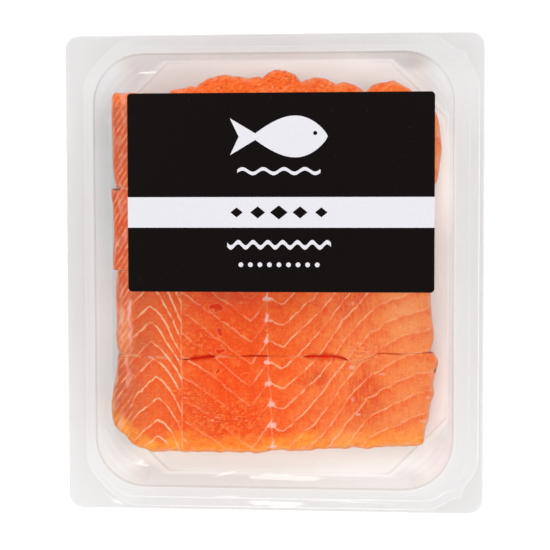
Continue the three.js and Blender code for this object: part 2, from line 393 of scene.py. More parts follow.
def make_piece(name, points, faces, nodes, materials, smooth=True):
    """A mesh in the frame that stands for some CAD nodes, from points in millimetres."""
    mesh = bpy.data.meshes.new(name)
    mesh.from_pydata((np.asarray(points, float) * MM).tolist(), [], faces)
    mesh.validate()
    mesh.update()
    if smooth:
        mesh.shade_smooth()
    for material in materials:
        mesh.materials.append(material)
    piece = put_in_scene(name, mesh)
    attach(piece, "root")
    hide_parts(*nodes)
    return piece


def give(piece, stored):
    """Stores numbers, or sets of three, at the points of a piece by name, for its material to read."""
    for name, values in stored.items():
        values = np.asarray(values, np.float32)
        kind, field = ("FLOAT", "value") if values.ndim == 1 else ("FLOAT_VECTOR", "vector")
        attribute = piece.data.attributes.new(name, kind, "POINT")
        attribute.data.foreach_set(field, values.ravel())


def band(low, high):
    """Faces between two loops of points, given by number and anticlockwise from above."""
    return np.column_stack([low, np.roll(low, -1), np.roll(high, -1), high]).tolist()


def fan(middle, first, second):
    """Faces from a middle point to each pair of points round it."""
    return np.column_stack([np.full(len(first), middle), first, second]).tolist()


def skin_over(rings):
    """Points and faces of a closed solid skinned over rings, from its underside round to its top."""
    rings = np.asarray(rings)
    levels, count, _ = rings.shape
    points = np.vstack([rings.reshape(-1, 3), rings[0].mean(0), rings[-1].mean(0)])
    total = levels * count
    loops = np.arange(total).reshape(levels, count)
    faces = fan(total, np.roll(loops[0], -1), loops[0])
    for low, high in zip(loops[:-1], loops[1:]):
        faces += band(low, high)
    return points, faces + fan(total + 1, loops[-1], np.roll(loops[-1], -1))


# ---- Materials ----


class Nodes:
    """A material, or the world, that is built node by node.

    A value can be a number, a colour, another node's socket, or the name of something stored in the piece.
    """

    def __init__(self, owner):
        self.owner = owner
        owner.use_nodes = True
        self.tree = owner.node_tree
        self.tree.nodes.clear()

    def node(self, kind, **settings):
        made = self.tree.nodes.new("ShaderNode" + kind)
        for name, value in settings.items():
            setattr(made, name, value)
        return made

    def put(self, sockets, *values):
        for socket, value in zip(sockets, values):
            if isinstance(value, str):
                value = self.stored(value, "Fac")
            if isinstance(value, bpy.types.NodeSocket):
                self.tree.links.new(value, socket)
            else:
                socket.default_value = value

    def put_by_name(self, made, **values):
        for name, value in values.items():
            self.put([made.inputs[name.replace("_", " ")]], value)
        return made

    def stored(self, name, output):
        return self.node("Attribute", attribute_name=name).outputs[output]

    def maths(self, operation, *values):
        made = self.node("Math", operation=operation)
        self.put(made.inputs, *values)
        return made.outputs[0]

    def times(self, first, *others):
        for other in others:
            first = self.maths("MULTIPLY", first, other)
        return first

    def plus(self, first, *others):
        for other in others:
            first = self.maths("ADD", first, other)
        return first

    def scaled(self, value, factor, more):
        return self.maths("MULTIPLY_ADD", value, factor, more)

    def parts(self, vector):
        split = self.node("SeparateXYZ")
        self.put(split.inputs, vector)
        return split.outputs[:]

    def places(self, stretch):
        """The point's own place in metres, stretched along the axes."""
        mapping = self.node("Mapping")
        self.put_by_name(mapping, Vector=self.node("TexCoord").outputs["Object"], Scale=stretch)
        return mapping.outputs[0]

    def noise(self, scale, detail, roughness=0.5, stretch=EVEN):
        made = self.node("TexNoise")
        self.put_by_name(made, Vector=self.places(stretch), Scale=scale, Detail=detail, Roughness=roughness)
        return made.outputs["Fac"]

    def span(self, value, low, high, to_low=0.0, to_high=1.0):
        """Value carried smoothly from one range to another, and kept inside it."""
        made = self.node("MapRange", interpolation_type="SMOOTHSTEP")
        self.put_by_name(made, Value=value, From_Min=low, From_Max=high, To_Min=to_low, To_Max=to_high)
        return made.outputs["Result"]

    def blend(self, share, first, second):
        made = self.node("Mix", data_type="RGBA", blend_type="MIX", clamp_factor=True)
        self.put((made.inputs[0], made.inputs[6], made.inputs[7]), share, first, second)
        return made.outputs[2]

    def ramp(self, value, stops):
        made = self.node("ValToRGB")
        self.put(made.inputs, value)
        elements = made.color_ramp.elements
        while len(elements) < len(stops):
            elements.new(1)
        for element, (place, colour) in zip(elements, stops):
            element.position = place
            element.color = colour
        return made.outputs["Color"]

    def bump(self, height, distance, strength):
        made = self.node("Bump")
        return self.put_by_name(made, Height=height, Distance=distance, Strength=strength).outputs["Normal"]

    def shader(self, kind, **values):
        return self.put_by_name(self.node("Bsdf" + kind), **values).outputs[0]

    def mixed(self, share, first, second):
        made = self.node("MixShader")
        self.put(made.inputs, share, first, second)
        return made.outputs[0]

    def finish(self, shader, kind="Material"):
        self.put_by_name(self.node("Output" + kind), Surface=shader)
        return self.owner


def clear_look(name, roughness):
    """A clear glossy sheet. Light passes straight through, dimmed by the stored tint: a little more where the
    sheet is bent, as painted shade, and on the tray also by painted shade, light and salmon reflections by
    place.
    """
    look = Nodes(bpy.data.materials.new(name))
    steep = look.maths("POWER", look.node("LayerWeight").outputs["Facing"], 5.0)
    gloss = look.times(look.scaled(steep, GLOSS_EDGE_ON, GLOSS_FACING), "shine")
    tinted = look.shader("Transparent", Color=look.stored("tint", "Color"))
    seen = look.mixed(gloss, tinted, look.shader("Glossy", Color=WHITE, Roughness=roughness))
    shadow_ray = look.node("LightPath").outputs["Is Shadow Ray"]
    return look.finish(look.mixed(shadow_ray, seen, look.shader("Transparent", Color=WHITE)))


def flake_pattern(look, grain):
    """The pale lines between flakes, the deeper tone beside them, and the share past the septum.

    Each kind of flake comes from the phase, the spacing and the strength that are stored in a piece.
    """
    wander = look.scaled(grain["wander"], 0.3, -0.15)
    width = look.span(grain["uneven"], 0.3, 0.7, 0.45, 0.82)
    past_septum = look.span("septum", -0.3, 0.3)
    past_margin = look.span("margin", 0.2, 2.6)
    on_back = look.times(look.maths("SUBTRACT", 1.0, past_septum), past_margin)
    kinds = [
        ("flank", width, 1.0, past_septum),
        ("chevron", look.times(width, 1.12), 1.25, on_back),
        ("edging", width, 1.0, look.maths("SUBTRACT", 1.0, past_margin)),
    ]
    lines = []
    shades = []
    for name, wide, boost, where in kinds:
        phase, spacing, strength = look.parts(look.stored(name, "Vector"))
        moved = look.plus(phase, wander)
        distance = look.times(look.maths("PINGPONG", moved, 0.5), spacing)
        line = look.times(look.span(distance, wide, look.times(wide, 0.2)), strength, boost, where)
        lines.append(line)
        shades.append(look.times(look.span(look.maths("FRACT", moved), 0.35, 1.0), where))
    return look.plus(*lines), look.plus(*shades), past_septum


def broken_lines(look, grain, lines, torn):
    """The flake lines with the septum and the midline, faded in patches and lost where flesh is torn."""
    for name, half, strength in (("septum", 0.6, 0.75), ("midline", 0.4, 0.5)):
        distance = look.maths("ABSOLUTE", name)
        lines = look.maths("MAXIMUM", lines, look.times(look.span(distance, half, 0.0), strength))
    return look.times(lines, look.span(grain["fading"], 0.36, 0.56, 0.25, 1.0), look.scaled(torn, -0.8, 1.0))


def flesh_layers(look, grain, shade, past_septum, torn, across):
    """What lies over the plain flesh tone, from the bottom up: each share, and its colour."""
    patches, mottle, fibre = grain["patches"], grain["mottle"], grain["fibre"]
    patched = look.scaled(past_septum, 0.6, 0.4)
    speckle = look.scaled(torn, 0.5, 0.26)
    fibrous = look.span(across, 0.45, 0.75, 0.1, 0.42)
    return [
        (look.times("flushed", 0.8), FLUSH_RED),
        (look.times("pale", 0.6), PALE_PEACH),
        (look.times(shade, 0.42), DEEP_ORANGE),
        (look.times("thin", look.span(patches, 0.34, 0.6, 0.5, 1.1)), THIN_YELLOW),
        # Partly painted light: the first portion's rear end is painted a lighter, saturated orange.
        ("rear_orange_and_light", REAR_ORANGE_AND_LIGHT),
        # Painted light: the outer edges of the top and the upper outer sides are painted pale peach.
        (look.times("rim", 0.75), EDGE_LIGHT_PEACH),
        (look.times(look.span(patches, 0.5, 0.7, 0.0, 0.42), patched), DEEP_ORANGE),
        (look.times(look.span(patches, 0.5, 0.32, 0.0, 0.3), patched), FIBRE_PEACH),
        (look.times(look.span(mottle, 0.5, 0.62), speckle), DEEP_ORANGE),
        (look.times(look.span(mottle, 0.48, 0.38), speckle), FIBRE_PEACH),
        (look.times(look.span(fibre, 0.5, 0.64), fibrous), FIBRE_PEACH),
        (look.times(look.span(fibre, 0.5, 0.36), look.times(fibrous, 0.3)), DEEP_ORANGE),
    ]


def mark_layers(look, grain, lines, crack, torn):
    """The lines and marks over those layers, from the bottom up: each share, and its colour."""
    pit = look.plus("pit", look.scaled(grain["uneven"], 0.8, -0.4))
    return [
        (look.times(lines, 0.82), LINE_PALE),
        (look.times("streak", look.span(grain["streaks"], 0.4, 0.62, 0.2, 0.85)), KNOT_WHITE),
        (look.times("fat", 0.9), KNOT_WHITE),
        (look.times(look.span(grain["flecks"], 0.62, 0.69), look.scaled(torn, 0.6, 0.22)), LINE_PALE),
        (look.span(pit, 0.2, 0.42, 0.0, 0.2), LINE_PALE),
        (look.span(pit, 0.36, 1.0), PIT_RED),
        (crack, CRACK_RED),
        # Partly painted shade: the cut faces are painted deep red.
        (look.times("cut", 0.9), CUT_RED_AND_SHADE),
        ("lip", LINE_PALE),
        # Dark spots, one of them a painted shadow, in the skin's dark grey.
        (look.times("dark", 0.75), SKIN_GAP_AND_SHADOW_DARK),
        ("shaded", SHADE_BROWN),
    ]


def skin_colour(look, across):
    """Silver scales with dark gaps between them."""
    scales = look.node("TexVoronoi", feature="DISTANCE_TO_EDGE")
    look.put_by_name(scales, Vector=look.places((1, 0.8, 1)), Scale=420.0)
    inside = look.span(scales.outputs["Distance"], 0.0, 0.25)
    return look.blend(inside, SKIN_GAP_AND_SHADOW_DARK, look.ramp(across, SKIN_TONES))


def flesh_look():
    """Moist raw salmon: orange flakes with pale lines between them, and silver skin underneath."""
    look = Nodes(bpy.data.materials.new("moist_salmon_flesh"))
    grain = {name: look.noise(*settings) for name, settings in GRAINS.items()}
    torn = look.stored("torn", "Fac")
    across = look.stored("across", "Fac")
    lines, shade, past_septum = flake_pattern(look, grain)
    lines = broken_lines(look, grain, lines, torn)
    off_crack = look.maths("ABSOLUTE", look.maths("SUBTRACT", grain["cracks"], 0.5))
    crack = look.times(look.span(off_crack, 0.024, 0.004), look.times(torn, 0.5))
    colour = look.ramp(look.plus(across, look.scaled(grain["broad"], 0.24, -0.12)), FLESH_TONES)
    layers = flesh_layers(look, grain, shade, past_septum, torn, across)
    layers += mark_layers(look, grain, lines, crack, torn)
    layers.append(("skin", skin_colour(look, across)))
    for share, tone in layers:
        colour = look.blend(share, colour, tone)
    height = look.scaled(lines, -0.5, grain["mottle"])
    height = look.plus(height, look.times(grain["fibre"], 0.15), look.times(grain["patches"], 1.5))
    height = look.maths("SUBTRACT", height, look.times(crack, 0.3))
    surface = look.shader(
        "Principled",
        Base_Color=colour,
        Roughness=0.34,
        Normal=look.bump(height, distance=0.0003, strength=0.8),
        Subsurface_Weight=0.2,
        Subsurface_Radius=(1.0, 0.35, 0.15),
        Subsurface_Scale=0.002,
        Specular_IOR_Level=0.1,
        Coat_Weight=0.05,
        Coat_Roughness=0.1,
    )
    return look.finish(surface)


def paper_look(name, colour):
    look = Nodes(bpy.data.materials.new(name))
    grain = look.noise(900, 2)
    worn = look.span(look.noise(1500, 1, stretch=(1, 0.5, 1)), 0.76, 0.82, 0.0, 0.04)
    printed = look.blend(look.times(grain, 0.1), colour, BLACK)
    surface = look.shader(
        "Principled",
        Base_Color=look.blend(worn, printed, WORN_GREY),
        Roughness=0.2,
        Specular_IOR_Level=0.25,
        Normal=look.bump(grain, distance=0.00001, strength=0.2),
    )
    return look.finish(surface)


def floor_look():
    look = Nodes(bpy.data.materials.new("studio_floor"))
    surface = look.shader(
        "Principled",
        Base_Color=FLOOR_WHITE,
        Roughness=0.9,
        Specular_IOR_Level=0.1,
        Emission_Color=FLOOR_WHITE,
        Emission_Strength=FLOOR_GLOW,
    )
    return look.finish(surface)


# ---- The tray ----


def ring(left, right, front, rear, corner, z, roundness=1.0, drawn_in=0.0, lobe=0.0, side_steps=SIDE_STEPS):
    """One level: a ring of points, anticlockwise from above, with corners from a 45 degree cut to an arc.

    The corners can be drawn in by some millimetres, with a small lobe left standing at their middle on
    the right side.
    """
    low_x, high_x = left + corner, right - corner
    low_y, high_y = front + corner, rear - corner
    centres = [(high_x, high_y), (low_x, high_y), (low_x, low_y), (high_x, low_y)]
    share = np.linspace(0, 1, CORNER_STEPS + 1)
    arcs = []
    for quarter, centre in enumerate(centres):
        angle = (quarter + share) * math.pi / 2
        arc = np.column_stack([np.cos(angle), np.sin(angle)])
        cut = arc[0] + (arc[-1] - arc[0]) * share[:, None]
        reach = corner - drawn_in * np.sin(math.pi * share) ** 2
        if quarter in (0, 3):
            reach = reach + lobe * np.exp(-(((share - LOBE_PLACE) / LOBE_WIDTH) ** 2))
        arcs.append(reach[:, None] * (cut + (arc - cut) * roundness) + centre)
    way = np.linspace(0, 1, side_steps + 1)[1:-1, None]
    points = []
    for arc, following in zip(arcs, arcs[1:] + arcs[:1]):
        points += [arc, arc[-1] + (following[0] - arc[-1]) * way]
    flat = np.vstack(points)
    return np.column_stack([flat, np.full(len(flat), float(z))])


def even_ring(centre, half, corner, z, roundness=1.0):
    (x, y), (half_x, half_y) = centre, half
    return ring(x - half_x, x + half_x, y - half_y, y + half_y, corner, z, roundness)


def wall_ring(share, z, grown):
    """The cavity's wall at a share of its height, grown outwards."""
    half = [MOUTH_HALF[side] - WALL_LEAN[side] * (1 - share) + grown for side in (0, 1)]
    corner = FLOOR_CUT + (MOUTH_CORNER - FLOOR_CUT) * share + grown * 0.5
    return even_ring(MOUTH_CENTRE, half, corner, z, share)


def flange_ring(z, grown=0.0):
    return even_ring((0, 0), (TRAY_HALF[0] + grown, TRAY_HALF[1] + grown), FLANGE_CORNER + grown, z)


def land_ring(z, grown, spared_left=0.0):
    """The edge of the seal land. Its right corners are drawn in, round a small lobe."""
    left = -TRAY_HALF[0] + LAND_MARGIN["left"] - grown - spared_left
    right = TRAY_HALF[0] - LAND_MARGIN["right"] + grown
    end = TRAY_HALF[1] - LAND_MARGIN["ends"] + grown
    return ring(left, right, -end, end, LAND_CORNER + grown, z, drawn_in=LAND_DRAWN_IN, lobe=LOBE_REACH)


def floor_turn(z, radius, grown):
    return [wall_ring(0, z + radius * (1 - math.cos(a)), grown - radius * (1 - math.sin(a))) for a in TURN]


def mouth_turn(z, radius, grown):
    return [wall_ring(1, z - radius * (1 - math.sin(a)), grown + radius * (1 - math.cos(a))) for a in TURN]


def cavity_face(lift):
    """The cavity's outer face, or its inner one when lifted by the sheet: each level's ring and bend."""
    grown = TRAY_SHEET - lift
    low, high = FLOOR_ROUND + TRAY_SHEET, TRAY_HEIGHT - TRAY_SHEET - MOUTH_ROLL
    shares = [level / WALL_STEPS for level in range(1, WALL_STEPS)]
    walls = [wall_ring(share, low + (high - low) * share, grown) for share in shares]
    return [
        (wall_ring(0, lift, -FLOOR_ROUND - FLOOR_MARGIN), 0.0),
        *zip(floor_turn(lift, FLOOR_ROUND + grown, grown), FLOOR_BENDS),
        *zip(walls, WALL_BENDS),
        *zip(mouth_turn(TRAY_HEIGHT - grown, MOUTH_ROLL + lift, grown), MOUTH_BENDS),
    ]


def flange_face(lift):
    """One face of the land and the flange, from a fine bead outwards: each level's ring and bend."""
    land = TRAY_HEIGHT - TRAY_SHEET + lift
    rim = land - LAND_DROP
    spared = BEAD_INSET - BEAD_INSET_LEFT
    return [
        (land_ring(land, -BEAD_INSET - BEAD_WIDTH, spared), 0.0),
        (land_ring(land - BEAD_DEPTH, -BEAD_INSET, spared), BEAD_BEND),
        (land_ring(land, -BEAD_INSET + BEAD_WIDTH, spared), 0.0),
        (land_ring(land, -LAND_LINE), 0.0),
        (land_ring(land, 0), LAND_BEND),
        (land_ring(rim, LAND_STEP), STEP_BEND),
        (flange_ring(rim, -EDGE_LINE), 0.0),
        (flange_ring(rim), EDGE_BEND),
    ]


def painted_light_and_shade(x, y, upright, side):
    """The share of painted shade over the floor and walls beyond their own tint, added up over places; a
    share below zero is painted light.
    """
    low = 1 - upright
    end_wall = upright * (1 - side)
    left = rise(-x, 0, 75)
    right = rise(x, 70, 84)
    right_foot = rise(x, 70, 81) * low
    rear_corner = rise(np.abs(x) + np.abs(y), 142, 156) * upright * (y > 0)
    places = [
        0.1 * left * rise(y, 40, 95) * (1 - side),
        0.05 * (1 - left) * rise(y, 50, 95) * (1 - side),
        0.07 * left * side * rise(y, -45, 40) * fall(y, 60, 100),
        0.05 * left * side * rise(-y, 20, 60),
        -0.04 * right * side * rise(y, -20, 60),
        0.035 * right * upright * rise(-y, 25, 50) * fall(-y, 68, 84),
        right_foot * (0.1 - 0.06 * rise(-y, 15, 60)) * rise(-y, -45, -10),
        -0.02 * fall(x, 40, 70) * rise(-y, 70, 95) * low,
        0.04 * rise(-y, 95, 100) * low,
        rear_corner * np.where(x < 0, 0.03, 0.05),
        end_wall * (0.11 - 0.09 * left) * rise(y, 97, 102),
        end_wall * 0.08 * rise(-y, 95, 100),
    ]
    return sum(places)[:, None]


def tint_with_painted_light(points, bends, on_flange):
    """The tray's tint at each point, with painted shade and light by place, darker over its rear and most of
    all at the back of the fish; painted salmon reflections; and painted highlights and edge-on shade at its
    bends.
    """
    x, y, z = points.T
    upright = rise(z, *FLOOR_TO_WALL)
    side = rise(np.abs(x), 68, 80) * np.where(x < 0, 1, upright)
    cool = side * np.where(x < 0, 1 - 0.8 * rise(-y, 30, 80), 1)
    own = FLOOR_TINT + (SIDE_TINT - FLOOR_TINT) * cool[:, None]
    # Painted reflections of the salmon: a pink cast on the right of the cavity, more towards the front, and
    # on its left a little in front of the middle.
    painted_reflection_right = rise(x, 70, 80) * fall(y, 20, 60) * (0.7 + 0.3 * rise(-y, 0, 50))
    painted_reflection_left = rise(-x, 70, 80) * rise(-y, -20, 10) * fall(-y, 30, 65)
    # Painted shade and light by place.
    own = own * (1 - painted_light_and_shade(x, y, upright, side))
    own = own * (1 + painted_reflection_right[:, None] * (0.02, -0.02, -0.025) + painted_reflection_left[:, None] * (0.005, -0.026, -0.032))
    # Painted shade on the flange: darker towards its rear, most at its rear edge, and along the middle of its
    # left side.
    middle_left = rise(-x, 80, 92) * fall(np.abs(y), 0, 95)
    flange_painted_shade = 0.02 * rise(y, -90, -10) + 0.025 * rise(y, 88, 106) + 0.03 * middle_left
    own = np.where(on_flange[:, None], FLANGE_TINT * (1 - flange_painted_shade)[:, None], own)
    at_cut_corner = rise(np.abs(x) + np.abs(y), 148, 158)
    bends = bends * np.where(z < FLOOR_TO_WALL[0], 0.35 + 0.65 * at_cut_corner, 1)
    # Painted highlights where an edge catches the light, strongest at the front, and painted shade where the
    # sheet is bent.
    lit_edge = 0.3 + 0.7 * rise(-y, 80, 105) + 1.5 * rise(-y, 95, 108) * fall(np.abs(x - 5), 45, 70)
    own = own + (1 - own) * (np.maximum(-bends, 0) * lit_edge)[:, None]
    return own + (EDGE_ON_SHADE - own) * np.clip(bends, 0, 1)[:, None]


def sheet_shine(points, bends, on_roll):
    """How glossy the tray is at each point: less where it is bent, and where it would mirror the fish."""
    x, y, z = points.T
    upright = rise(z, *FLOOR_TO_WALL)
    by_fish = upright * rise(-x, 60, 75) + upright * rise(x, 55, 75) * rise(y, 55, 85)
    dulled = 0.6 * by_fish + 0.9 * (1 - upright)
    shine = (1 - 0.7 * rise(bends, 0.12, 0.4)) * (1 - np.minimum(dulled, 0.9))
    return np.where(on_roll, 0.3 * shine, shine)


def make_tray():
    """The tray: its outer face from the floor out to the rim, and its inner face back again."""
    outer, inner = [cavity_face(lift) + flange_face(lift) for lift in (0, TRAY_SHEET)]
    levels = outer + inner[::-1]
    rings = np.array([level for level, _ in levels])
    points, faces = skin_over(rings)
    look = clear_look("clear_tray_plastic", roughness=0.06)
    piece = make_piece("tray_shell", points, faces, ["tray"], [look])
    heights = points[:, 2]
    bent = [np.ptp(heights[list(face)]) > 0.01 for face in faces]
    piece.data.polygons.foreach_set("use_smooth", bent)

    def at_points(values):
        """One value a level as one a point, with none for the two middle points."""
        return np.append(np.repeat(values, rings.shape[1]), [0, 0])

    from_floor = np.concatenate([np.arange(len(outer)), np.arange(len(inner))[::-1]])
    mouth = 1 + len(FLOOR_BENDS) + len(WALL_BENDS)
    on_flange = at_points(from_floor >= mouth + MOUTH_BENDS.index(0.0))
    on_roll = at_points((from_floor >= mouth) & (from_floor < mouth + len(MOUTH_BENDS)))
    bends = at_points([bend for _, bend in levels])
    give(piece, {"tint": tint_with_painted_light(points, bends, on_flange), "shine": sheet_shine(points, bends, on_roll)})


# ---- The film and the label ----


def film_dip(x, y):
    """How far the film dips: a little over the mouth, and in the small dents that catch the light."""
    inner = rise(np.abs(x), TRAY_HALF[0], 80) * rise(np.abs(y), TRAY_HALF[1], 98)
    dip = inner * (0.06 + 0.05 * waves(x, y, 60, 5))
    for centre_x, centre_y, half_x, half_y, turn, depth in FILM_DENTS:
        along = (x - centre_x) * math.cos(turn) + (y - centre_y) * math.sin(turn)
        across = (y - centre_y) * math.cos(turn) - (x - centre_x) * math.sin(turn)
        ragged = 1 + 0.25 * waves(along, across, max(half_x * 0.4, 2.5), 81)
        dip = dip + depth * ragged * np.exp(-((along / half_x) ** 2) - (across / (half_y * ragged)) ** 2)
    return dip


def film_ring(inset, z):
    x, y = TRAY_HALF[0] - inset, TRAY_HALF[1] - inset
    return ring(-x, x, -y, y, FLANGE_CORNER, z, side_steps=FILM_SIDE_STEPS)


def make_film():
    """The lid film, drawn tight over the mouth, with the faint unevenness that catches the light."""
    bottom = TRAY_HEIGHT + FILM_GAP
    lower = [film_ring(inset, bottom) for inset in FILM_INSETS[::-1]]
    upper = [film_ring(inset, bottom + FILM_SHEET) for inset in FILM_INSETS]
    rings = np.array(lower + upper)
    rings[..., 2] -= film_dip(rings[..., 0], rings[..., 1])
    points, faces = skin_over(rings)
    look = clear_look("clear_lid_film", roughness=0.11)
    piece = make_piece("lid_film_sheet", points, faces, ["lid_film"], [look])
    give(piece, {"tint": np.full(points.shape, FILM_TINT), "shine": np.ones(len(points))})


def slab(outline, bottom, top):
    """A flat shape of some thickness, from its outline of x and y, anticlockwise."""
    count = len(outline)
    points = np.vstack([np.column_stack([outline, np.full(count, z)]) for z in (bottom, top)])
    low = np.arange(count)
    high = low + count
    return points, [low[::-1].tolist(), high.tolist(), *band(low, high)]


def joined(shapes):
    """Several shapes as one list of points and one of faces."""
    points, faces, count = [], [], 0
    for shape_points, shape_faces in shapes:
        points.append(shape_points)
        faces += [[index + count for index in face] for face in shape_faces]
        count += len(shape_points)
    return np.vstack(points), faces


def fish_outline(centre_x, centre_y, length, height):
    """A plain fish: a lens for the body and a forked tail."""
    share = np.linspace(0, 1, 40)
    body_x = length * (0.5 - 0.78 * share)
    body_y = height / 2 * np.sin(math.pi * share**0.85) ** 0.9 * (1 - 0.12 * share)
    half = np.maximum(body_y, 0.07 * height)
    upper = np.column_stack([body_x, half])[1:-2]
    lower = np.column_stack([body_x, -half])[1:-2][::-1]
    tail = [(-0.5 * length, 0.42 * height), (-0.41 * length, 0.0), (-0.5 * length, -0.42 * height)]
    return np.vstack([[(0.5 * length, 0.0)], upper, tail, lower]) + (centre_x, centre_y)


def wave_outline(centre_x, centre_y, length, swings, swing, thickness):
    """A plain wavy stripe."""
    x = np.linspace(-length / 2, length / 2, 24 * swings)
    y = swing * np.sin(2 * math.pi * swings * x / length)
    upper = np.column_stack([x, y + thickness / 2])[::-1]
    lower = np.column_stack([x, y - thickness / 2])
    return np.vstack([lower, upper]) + (centre_x, centre_y)


def disc_outline(centre_x, centre_y, radius):
    angle = np.linspace(0, 2 * math.pi, 33)[:-1]
    return np.column_stack([centre_x + radius * np.cos(angle), centre_y + radius * np.sin(angle)])


def diamond_outline(centre_x, centre_y, half):
    return np.array([(half * 1.25, 0), (0, half), (-half * 1.25, 0), (0, -half)]) + (centre_x, centre_y)


def band_outline():
    (x, _), (low, high) = LABEL_CENTRE, BAND_SPAN
    left, right = x - LABEL_HALF[0], x + LABEL_HALF[0]
    return [(left, low), (right, low), (right, high), (left, high)]


def make_label():
    """The label: black paper with one white band and a plain generic print."""
    bottom = TRAY_HEIGHT + FILM_GAP + FILM_SHEET
    top = bottom + LABEL_SHEET - PRINT_LIFT * 2
    base = skin_over([even_ring(LABEL_CENTRE, LABEL_HALF, LABEL_CORNER, z) for z in (bottom, top)])
    centre = LABEL_CENTRE[0] - 0.5
    band_y = sum(BAND_SPAN) / 2
    white = [
        band_outline(),
        fish_outline(centre, 66, length=47, height=21),
        wave_outline(centre, 49.5, length=40, swings=4, swing=1.1, thickness=1.7),
        wave_outline(centre, 14.2, length=50, swings=7, swing=1.3, thickness=2.1),
        *[disc_outline(centre + DOT_PITCH * step, 4.6, radius=1.15) for step in range(-4, 5)],
    ]
    eye = disc_outline(centre + 17.5, 67.6, radius=1.0)
    black = [eye]
    for step in range(-2, 3):
        black.append(diamond_outline(centre + DIAMOND_PITCH * step, band_y, half=3.4 - 0.5 * abs(step)))
    shapes = [base]
    shapes += [slab(outline, top, top + PRINT_LIFT) for outline in white]
    shapes += [slab(outline, top + PRINT_LIFT, top + PRINT_LIFT * 2) for outline in black]
    points, faces = joined(shapes)
    looks = [paper_look("label_black", LABEL_BLACK), paper_look("label_white", LABEL_WHITE)]
    piece = make_piece("label_print", points, faces, ["label"], looks, smooth=False)
    kinds = [int(1 <= place <= len(white)) for place, shape in enumerate(shapes) for _ in shape[1]]
    piece.data.polygons.foreach_set("material_index", kinds)
    # Light finds its way under the label through the film and the moist flesh, so it casts no shadow; the
    # softer shade it leaves on the flesh in front of it is painted into the flesh instead (label_shade).
    piece.visible_shadow = False


# ---- The salmon: shape ----


def pressed_shut(openings, x):
    """1 where a cut is pressed shut, and 0 elsewhere."""
    found = np.zeros_like(x)
    if openings is OPEN_3:
        for middle, half in PRESSED_SHUT:
            found = np.maximum(found, fall(np.abs(x - middle), half - 2, half))
    return found


def opening(openings, x):
    """How wide a cut stands open at the top."""
    width = 0.02 - 0.04 * pressed_shut(openings, x)
    for centre, half, most in openings or ():
        share = np.clip(1 - ((x - centre) / half) ** 2, 0, 1)
        width = np.maximum(width, most * share**0.7 * (1 + 0.3 * waves(x, 0 * x, 3, 57)))
    return width


def inside_tray(x, y, z):
    """The nearest places, at their own height, that are clear of the cavity's walls."""
    height = z - TRAY_SHEET
    wall_height = TRAY_HEIGHT - MOUTH_ROLL - 2 * TRAY_SHEET - FLOOR_ROUND
    share = np.clip((height - FLOOR_ROUND) / wall_height, 0, 1)
    inset = WALL_GAP + rounded_drop(height, FLOOR_ROUND)
    corner = FLOOR_CUT + (MOUTH_CORNER - FLOOR_CUT) * share
    place = np.array([x - MOUTH_CENTRE[0], y - MOUTH_CENTRE[1]])
    half = np.array([MOUTH_HALF[side] - WALL_LEAN[side] * (1 - share) - inset for side in (0, 1)])
    past = np.minimum(np.abs(place), half) - (half - corner)
    in_corner = (past > 0).all(0)
    reach = np.where(in_corner, np.hypot(*past), 1)
    total = np.where(in_corner, past.sum(0), 1)
    limit = corner * (reach / total + (1 - reach / total) * share)
    pull = np.where(in_corner, np.minimum(limit / reach, 1), 1)
    clear = np.sign(place) * (half - corner + past * pull)
    return MOUTH_CENTRE[0] + clear[0], MOUTH_CENTRE[1] + clear[1]


def eased(steps):
    """-1 to 1, a little closer together at both ends."""
    plain = np.linspace(-1, 1, steps + 1)
    return 0.65 * plain + 0.35 * np.sin(plain * math.pi / 2)


def rear_edge(portion, x):
    """Where a portion ends towards the rear, with the lumps of the fish's torn end."""
    edge = soft_table(portion["rear"], x, 0.6)
    if portion["rear"] is REAR_LEVEL:
        level = edge
        for middle, half, reach in REAR_LUMPS:
            share = np.clip(1 - ((x - middle) / half) ** 2, 0, 1)
            edge = np.maximum(edge, level + (reach - level) * share**0.7)
        edge = edge + 0.3 * waves(x, 0 * x, 6, 55) + 0.1 * waves(x, 0 * x, 2.5, 58)
    return edge


def front_edge(portion, x):
    """Where a portion ends towards the front."""
    edge = soft_table(portion["front"], x, 0.6)
    if portion["front"] is FRONT_END:
        edge = edge + 0.35 * waves(x, 0 * x, 7, 56)
    return edge


def edge_drop(distance, openings, gap, x, end_round):
    """How far the top has dropped near a cut: a fine crease where it is shut, a rounded lip where open."""
    if openings is None:
        return rounded_drop(distance, end_round)
    crease = CREASE * (1 - pressed_shut(openings, x))
    return np.minimum(rounded_drop(distance, CUT_ROUND + 0.7 * gap), crease + gap)


